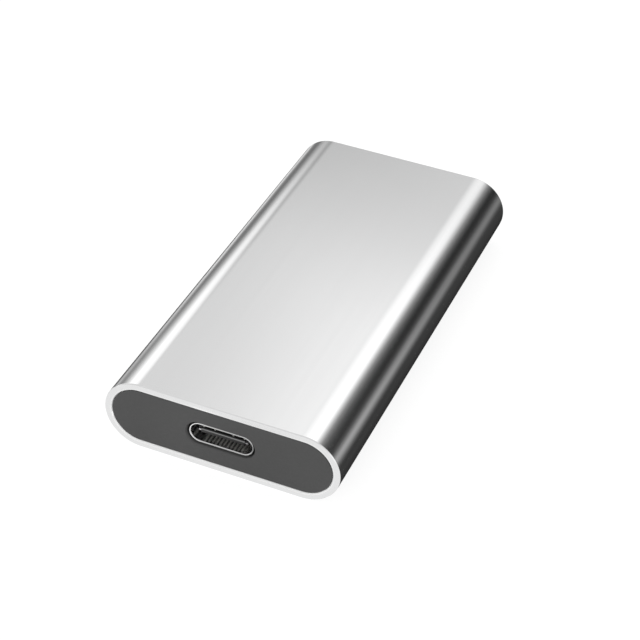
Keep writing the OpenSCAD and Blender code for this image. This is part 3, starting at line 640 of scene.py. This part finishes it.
def skirt_form():
    """Skirt of a cap: a ring with slots for the board's corners and for the snap tongues, and the snap beads."""
    w, h = SEAT_W - 2 * SKIRT_GAP, SEAT_H - 2 * SKIRT_GAP
    iw, ih = w - 2 * SKIRT_T, h - 2 * SKIRT_T
    outer = [(SKIRT_Y, 0), (SKIRT_BACK_Y - CAP_BEVEL, 0), (SKIRT_BACK_Y, CAP_BEVEL)]
    bm = bmesh.new()
    add_rings(bm, bar_rings(w, h, MID_Z, outer, SOCKET_STEPS)
              + bar_rings(iw, ih, MID_Z, [(SKIRT_BACK_Y, 0), (SKIRT_Y, 0)], SOCKET_STEPS))
    skirt = mesh_object("skirt", bm)
    bead_rise = SEAT_H / 2 + SNAP_BITE - SKIRT_GAP - SNAP_R
    for sign in (-1, 1):
        bead = bmesh.new()
        bmesh.ops.create_cone(bead, cap_ends=True, segments=SOCKET_STEPS, radius1=SNAP_R * MM,
                              radius2=SNAP_R * MM, depth=SNAP_W * MM, matrix=Matrix.Rotation(math.pi / 2, 4, "Y"))
        bmesh.ops.translate(bead, verts=bead.verts, vec=Vector((0, SNAP_Y, MID_Z + sign * bead_rise)) * MM)
        boolean(skirt, mesh_object("bead", bead), "UNION")
    room = bar_object("room", iw, ih, MID_Z, SKIRT_Y - ROOM_PAST, SKIRT_BACK_Y + CUT_PAST, SOCKET_STEPS)
    boolean(skirt, room, "DIFFERENCE")
    slot_l = SKIRT_L + CUT_PAST
    slot = box_object("board_slot", 0, FACE_BACK_Y + slot_l / 2, BOARD_Z - BOARD_GAP,
                      (BODY_W, slot_l, BOARD_TOP - BOARD_Z + 2 * BOARD_GAP))
    boolean(skirt, slot, "DIFFERENCE")
    snap_l = SKIRT_L - SKIRT_ROOT
    for sign in (-1, 1):
        slot = box_object("snap_slot", sign * (SNAP_W + SNAP_SLOT) / 2, SKIRT_BACK_Y + (CUT_PAST - snap_l) / 2,
                          -CUT_DEEP, (SNAP_SLOT, snap_l + CUT_PAST, BODY_H + 2 * CUT_DEEP))
        boolean(skirt, slot, "DIFFERENCE")
    return skirt


def collar_form(w, h):
    """Collar over the socket behind the opening of w x h, open below the socket's middle."""
    back_y = FACE_BACK_Y + COLLAR_L
    collar = bar_object("collar", w + 2 * COLLAR_T, h + 2 * COLLAR_T, SOCKET_Z, SKIRT_Y, back_y, SOCKET_STEPS)
    below_l = COLLAR_L + CUT_PAST
    below = box_object("below", 0, FACE_BACK_Y + below_l / 2, -CUT_DEEP, (BODY_W, below_l, SOCKET_Z + CUT_DEEP))
    boolean(collar, below, "DIFFERENCE")
    bore = bar_object("bore", w, h, SOCKET_Z, SKIRT_Y - CUT_PAST, back_y + CUT_PAST, ARC_STEPS)
    boolean(collar, bore, "DIFFERENCE")
    return collar


def build_cap(name, node, opening):
    """End cap: a bevelled face plate, with a collared opening at the front, and its skirt."""
    w, h = SEAT_W - 2 * CAP_GAP, SEAT_H - 2 * CAP_GAP
    hole_w, hole_h = SOCKET_W + 2 * SOCKET_GAP, SOCKET_H + 2 * SOCKET_GAP
    radii = [0, PLASTIC_EDGE, PLASTIC_EDGE, 0]
    # The point on the face only leads each fillet, and is left out
    outer = fillet([(FACE_BACK_Y, 0), (FACE_Y + CAP_BEVEL, 0), (FACE_Y, CAP_BEVEL), (FACE_Y, 4 * CAP_BEVEL)],
                   radii)[:-1]
    hole = fillet([(FACE_Y, -3 * APERTURE_BEVEL), (FACE_Y, -APERTURE_BEVEL), (FACE_Y + APERTURE_BEVEL, 0),
                   (FACE_BACK_Y, 0)], radii)[1:]
    rings = bar_rings(w, h, MID_Z, outer, ARC_STEPS)
    if opening:
        rings += bar_rings(hole_w, hole_h, SOCKET_Z, hole, ARC_STEPS)
    bm = bmesh.new()
    add_rings(bm, rings, capped=not opening)
    cap = mesh_object("plate", bm)
    boolean(cap, skirt_form(), "UNION")
    if opening:
        boolean(cap, collar_form(hole_w, hole_h), "UNION")
    bm = take_mesh(cap)
    if not opening:
        bmesh.ops.rotate(bm, verts=bm.verts, cent=(0, 0, 0), matrix=Matrix.Rotation(math.pi, 3, "Z"))
    obj = new_object(name, bm, MATERIALS["cap_plastic"])
    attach(obj, "root")
    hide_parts(node)


def build_shell():
    """Drawn steel shell of the type C socket, with a rolled lip and four solder legs."""
    lip_back = SOCKET_Y + LIP_BEVEL
    profile = fillet([
        (SOCKET_BACK_Y, 0), (lip_back, 0), (SOCKET_Y, LIP_BEVEL), (SOCKET_Y, SOCKET_WALL - LIP_BEVEL),
        (lip_back, SOCKET_WALL), (SOCKET_BACK_Y, SOCKET_WALL)
    ], [0] + [SHELL_EDGE] * 4 + [0])
    bm = bmesh.new()
    add_rings(bm, bar_rings(SOCKET_W, SOCKET_H, SOCKET_Z, profile, ARC_STEPS))
    shell = mesh_object("shell", bm)
    leg_x = SOCKET_W / 2 - LEG_INSET - LEG_T / 2
    leg_size = (LEG_T, LEG_W, SOCKET_Z - SOCKET_FOOT_Z)
    legs = bmesh.new()
    for sign in (-1, 1):
        for share in LEG_SHARES:
            leg_y = SOCKET_Y + share * (SOCKET_BACK_Y - SOCKET_Y)
            add_box(legs, sign * leg_x, leg_y, SOCKET_FOOT_Z, leg_size)
    boolean(shell, mesh_object("legs", legs), "UNION")
    bore = bar_object("bore", SOCKET_W - 2 * SOCKET_WALL, SOCKET_H - 2 * SOCKET_WALL, SOCKET_Z,
                      SOCKET_Y + 2 * LIP_BEVEL, SOCKET_BACK_Y + CUT_PAST, ARC_STEPS)
    boolean(shell, bore, "DIFFERENCE")
    opening = box_object("opening", 0, SOCKET_BACK_Y + (CUT_PAST - TAIL_OPENING) / 2, BOARD_TOP - SOCKET_WALL,
                         (SOCKET_W - SOCKET_H, TAIL_OPENING + CUT_PAST, 2 * SOCKET_WALL + TAIL_CLEAR))
    boolean(shell, opening, "DIFFERENCE")
    obj = new_object("socket_shell", take_mesh(shell), MATERIALS["socket_steel"])
    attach(obj, "root")
    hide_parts("usb_c_shell")


# Studio: floor, light tent, cards, cloth and lamp. None of it belongs to the object.

# The world and the floor look white. FLOOR_KEEP is how much of the object's shadow the white floor keeps.
WORLD_LEVEL = 1.0
FLOOR_GREY = 0.8
FLOOR_KEEP = 0.22
FLOOR_GLOW = 0.84
FLOOR_HALF_M = 4

# Tent of cloth over the object, seen only in the metal. Its brightness changes with the angle round Y, from the
# right horizon over the top to the left one, and from beside the object to far behind it.
TENT_R = 450
TENT_FRONT = -130
TENT_BACK = 1300
TENT_STEPS = 48
TENT_TOP = 1.25
TENT_ANGLES = [0, 6, 14, 24, 33, 45, 56, 65, 74, 85, 100, 111, 116, 121, 125, 130, 140, 149, 157, 165, 173, 180]
TENT_BESIDE = [0.42, 0.38, 0.34, 0.32, 0.34, 0.40, 0.48, 0.56, 0.62, 0.68, 0.72, 0.72, 0.70, 0.66, 0.62, 0.62,
               0.80, 1.1, 0.88, 0.60, 0.42, 0.36]
TENT_NEAR = [0.37, 0.21, 0.065, 0.024, 0.04, 0.09, 0.22, 0.62, 1.25, 1.25, 1.15, 1.02, 0.78, 0.69, 0.76, 1.15,
             1.25, 1.25, 0.88, 0.60, 0.38, 0.25]
TENT_MID = [0.28, 0.18, 0.066, 0.022, 0.024, 0.10, 0.27, 0.68, 1.25, 1.25, 1.18, 1.0, 0.86, 0.73, 0.57, 0.50,
            1.05, 0.98, 0.66, 0.34, 0.18, 0.16]
TENT_FAR = [0.18, 0.13, 0.056, 0.025, 0.02, 0.095, 0.27, 0.60, 0.90, 0.97, 0.86, 0.64, 0.58, 0.51, 0.47, 0.30,
            0.37, 0.43, 0.37, 0.28, 0.18, 0.16]
TENT_BEYOND = [0.18, 0.13, 0.08, 0.08, 0.10, 0.18, 0.34, 0.52, 0.66, 0.70, 0.68, 0.60, 0.56, 0.51, 0.47, 0.40,
               0.40, 0.43, 0.37, 0.28, 0.18, 0.16]
# Each look with the place along Y where the tent has it
TENT_LOOKS = ((270, TENT_BESIDE), (350, TENT_NEAR), (400, TENT_NEAR), (500, TENT_MID), (600, TENT_FAR),
              (680, TENT_FAR), (1000, TENT_BEYOND))

# Cards on the floor beside and behind the object, seen only in the metal: brightness by the distance from the
# middle line, at three depths, where a depth is measured along Y less that distance
CARD_SPAN = 160
CARD_DEPTHS = [-39, -13, 13]
# Next to the object both cards are nearly black: a painted shadow of the object on the floor, as the metal sees
# it.
RIGHT_X = [12, 17, 20, 25, 27, 30, 35, 42, 52, 75, 160]
RIGHT_LOOKS = (
    [0.02, 0.03, 0.045, 0.04, 0.045, 0.085, 0.145, 0.24, 0.33, 0.38, 0.38],
    [0.02, 0.03, 0.042, 0.045, 0.047, 0.072, 0.13, 0.195, 0.25, 0.28, 0.28],
    [0.02, 0.03, 0.042, 0.045, 0.05, 0.065, 0.11, 0.155, 0.195, 0.21, 0.19],
)
LEFT_X = [12, 20, 23, 26, 29, 33, 38, 45, 55, 76, 135]
LEFT_LOOKS = (
    [0.02, 0.02, 0.02, 0.07, 0.30, 0.52, 0.54, 0.44, 0.34, 0.29, 0.25],
    [0.02, 0.02, 0.02, 0.1, 0.72, 0.95, 0.66, 0.42, 0.28, 0.19, 0.16],
    [0.02, 0.02, 0.05, 0.6, 1.0, 0.66, 0.46, 0.33, 0.24, 0.19, 0.16],
)
# A grey card takes the rest of the floor up to the object's front. The edges of the three cards: CARD_IN is how
# far they reach in under the sides, and CARD_STEP the width of the right card's part before the object.
CARD_LIFT = 0.02
CARD_IN = BODY_W / 2 - 4
CARD_STEP = 34
RIGHT_Y = FRONT_Y + 3.4
RIGHT_STEP_Y = FRONT_Y - 6.4
LEFT_Y = FRONT_Y + 7
BEHIND_Y = BACK_Y - 2
FRONT_CARD_GREY = 0.86

# Small flag on the floor before the socket: distance from the middle plane, and brightness, from left to right
FLAG_X = [-9, -7.5, -6.3, -5, -3.8, -2, 0, 2, 4, 6]
FLAG_LOOK = [0.86, 2.0, 2.0, 1.2, 0.75, 0.55, 0.4, 0.3, 0.3, 0.86]
FLAG_TOP = 2.0
FLAG_NEAR = 3.0
FLAG_FAR = 7.6

# Grey cloth that closes the tent in front of the object, behind the camera
CLOTH_GREY = 0.74
CLOTH_Y = -320
CLOTH_X = (-900, 420)
CLOTH_Z = (130, 620)

# Large soft lamp above, to the left and in front: size and place in metres, and power in watts
LAMP_SIZE = 0.5
LAMP_POWER = 0.6
LAMP_PLACE = Vector((-0.35, -0.35, 0.7))


def ramp(m, value, stops):
    """Grey ramp with its stops given as (position, value)."""
    made = m.tree.nodes.new("ShaderNodeValToRGB")
    m.give(made.inputs[0], value)
    elements = made.color_ramp.elements
    made.color_ramp.interpolation = "LINEAR"
    while len(elements) < len(stops):
        elements.new(0.5)
    for element, (pos, value) in zip(elements, stops):
        element.position = pos
        element.color = rgba(grey(value))
    return made.outputs[0]


def between(m, depth, keys, looks):
    """Goes from one look to the next as depth passes the keys."""
    out = looks[0]
    for low, high, look in zip(keys, keys[1:], looks[1:]):
        out = m.mix(m.fit(depth, low, high, 0, 1), out, look)
    return out


def floor_material():
    """White for the camera, mirrors and glass, with the object's soft shadow, and pale grey for other light."""
    m = Nodes("floor_white")
    path = m.node("ShaderNodeLightPath").outputs
    seen = m.math("MAXIMUM", path["Is Camera Ray"],
                  m.math("MAXIMUM", path["Is Glossy Ray"], path["Is Transmission Ray"]))
    lit = m.node("ShaderNodeBsdfDiffuse", Color=m.mix(seen, grey(FLOOR_GREY), grey(FLOOR_KEEP)))
    glow = m.node("ShaderNodeEmission", Strength=m.math("MULTIPLY", seen, FLOOR_GLOW))
    both = m.tree.nodes.new("ShaderNodeAddShader")
    m.give(both.inputs[0], lit.outputs[0])
    m.give(both.inputs[1], glow.outputs[0])
    return m.show(both)


def tent_material():
    m = Nodes("tent_cloth")
    x, y, z = m.position()
    share = m.math("DIVIDE", m.math("ARCTAN2", z, x), math.pi)
    looks = [ramp(m, share, [(a / 180, g / TENT_TOP) for a, g in zip(TENT_ANGLES, look)])
             for _, look in TENT_LOOKS]
    return m.glow(between(m, y, [place for place, _ in TENT_LOOKS], looks), TENT_TOP)


def card_material(name, spots, looks):
    """Glow that changes with the distance from the middle line and with the depth."""
    m = Nodes(name)
    x, y, _ = m.position()
    out = m.math("ABSOLUTE", x)
    share = m.fit(out, 0, CARD_SPAN, 0, 1)
    depth = m.math("SUBTRACT", y, out)
    ramps = [ramp(m, share, [(spot / CARD_SPAN, g) for spot, g in zip(spots, look)]) for look in looks]
    return m.glow(between(m, depth, CARD_DEPTHS, ramps))


def flag_material():
    """Glow that falls from left to right across the flag."""
    m = Nodes("socket_flag")
    x, _, _ = m.position()
    low, high = FLAG_X[0], FLAG_X[-1]
    stops = [((spot - low) / (high - low), g / FLAG_TOP) for spot, g in zip(FLAG_X, FLAG_LOOK)]
    return m.glow(ramp(m, m.fit(x, low, high, 0, 1), stops), FLAG_TOP)


def card(name, corners, material):
    bm = bmesh.new()
    bm.faces.new([bm.verts.new(Vector(corner) * MM) for corner in corners])
    return new_object(name, bm, material)


def floor_card(name, corners, material, lift=CARD_LIFT):
    """Flat card just above the floor."""
    return card(name, [(x, y, lift) for x, y in corners], material)


def light_tent():
    turns = [math.pi * i / TENT_STEPS for i in range(TENT_STEPS + 1)]
    arc = [(TENT_R * math.cos(a), TENT_R * math.sin(a)) for a in turns]
    bm = bmesh.new()
    front, back = [[bm.verts.new(Vector((x, y, z)) * MM) for x, z in arc] for y in (TENT_FRONT, TENT_BACK)]
    for i in range(TENT_STEPS):
        bm.faces.new((front[i], front[i + 1], back[i + 1], back[i]))
    return new_object("light_tent", bm, tent_material())


def floor_cards():
    right = floor_card(
        "floor_card_right",
        ((CARD_IN, RIGHT_Y), (CARD_STEP, RIGHT_Y), (CARD_STEP, RIGHT_STEP_Y), (TENT_R, TENT_FRONT),
         (TENT_R, TENT_BACK), (0, TENT_BACK), (0, BEHIND_Y), (CARD_IN, BEHIND_Y)),
        card_material("dark_card", RIGHT_X, RIGHT_LOOKS))
    left = floor_card(
        "floor_card_left",
        ((-TENT_R, LEFT_Y), (-CARD_IN, LEFT_Y), (-CARD_IN, BEHIND_Y), (0, BEHIND_Y), (0, TENT_BACK),
         (-TENT_R, TENT_BACK)),
        card_material("pale_card", LEFT_X, LEFT_LOOKS))
    front = floor_card(
        "floor_card_front",
        ((-TENT_R, TENT_FRONT), (TENT_R, TENT_FRONT), (TENT_R, RIGHT_Y), (CARD_IN, RIGHT_Y), (CARD_IN, FRONT_Y),
         (-CARD_IN, FRONT_Y), (-CARD_IN, LEFT_Y), (-TENT_R, LEFT_Y)),
        Nodes("grey_card").glow(grey(FRONT_CARD_GREY)), CARD_LIFT / 2)
    left_x, right_x = FLAG_X[0], FLAG_X[-1]
    near, far = FRONT_Y - FLAG_NEAR, FRONT_Y - FLAG_FAR
    flag = floor_card("socket_flag", ((left_x, far), (right_x, far), (right_x, near), (left_x, near)),
                      flag_material(), 2 * CARD_LIFT)
    return [right, left, front, flag]


def front_cloth():
    (x0, x1), (z0, z1) = CLOTH_X, CLOTH_Z
    corners = ((x0, CLOTH_Y, z0), (x1, CLOTH_Y, z0), (x1, CLOTH_Y, z1), (x0, CLOTH_Y, z1))
    return card("front_cloth", corners, Nodes("grey_cloth").glow(grey(CLOTH_GREY)))


def studio():
    world = bpy.data.worlds.new("studio")
    scene.world = world
    world.use_nodes = True
    tree = world.node_tree
    tree.nodes.clear()
    sky = tree.nodes.new("ShaderNodeBackground")
    sky.inputs["Color"].default_value = (1, 1, 1, 1)
    sky.inputs["Strength"].default_value = WORLD_LEVEL
    tree.links.new(sky.outputs[0], tree.nodes.new("ShaderNodeOutputWorld").inputs["Surface"])

    bm = bmesh.new()
    bmesh.ops.create_grid(bm, x_segments=1, y_segments=1, size=FLOOR_HALF_M)
    floor = new_object("floor", bm, floor_material())

    for obj in [light_tent()] + floor_cards() + [front_cloth()]:
        obj.visible_camera = False
        obj.visible_diffuse = False
        obj.visible_shadow = False
        obj.visible_transmission = False

    data = bpy.data.lights.new("soft_lamp", "AREA")
    data.shape = "DISK"
    data.size = LAMP_SIZE
    data.energy = LAMP_POWER
    lamp = bpy.data.objects.new("soft_lamp", data)
    lamp.location = LAMP_PLACE
    lamp.rotation_euler = (-LAMP_PLACE).to_track_quat("-Z", "Y").to_euler()
    lamp.visible_glossy = False
    lamp.visible_camera = False
    scene.collection.objects.link(lamp)


add_camera()
studio()
slots = {part["node"]: part["material_slot"] for part in frame["record"]["subparts"]}
for name, node in frame["nodes"].items():
    node.data.materials.clear()
    node.data.materials.append(MATERIALS[slots[name]])
build_tube()
build_cap("front_cap_moulding", "front_cap", True)
build_cap("rear_cap_moulding", "rear_cap", False)
build_shell()

scene.view_settings.view_transform = "Standard"
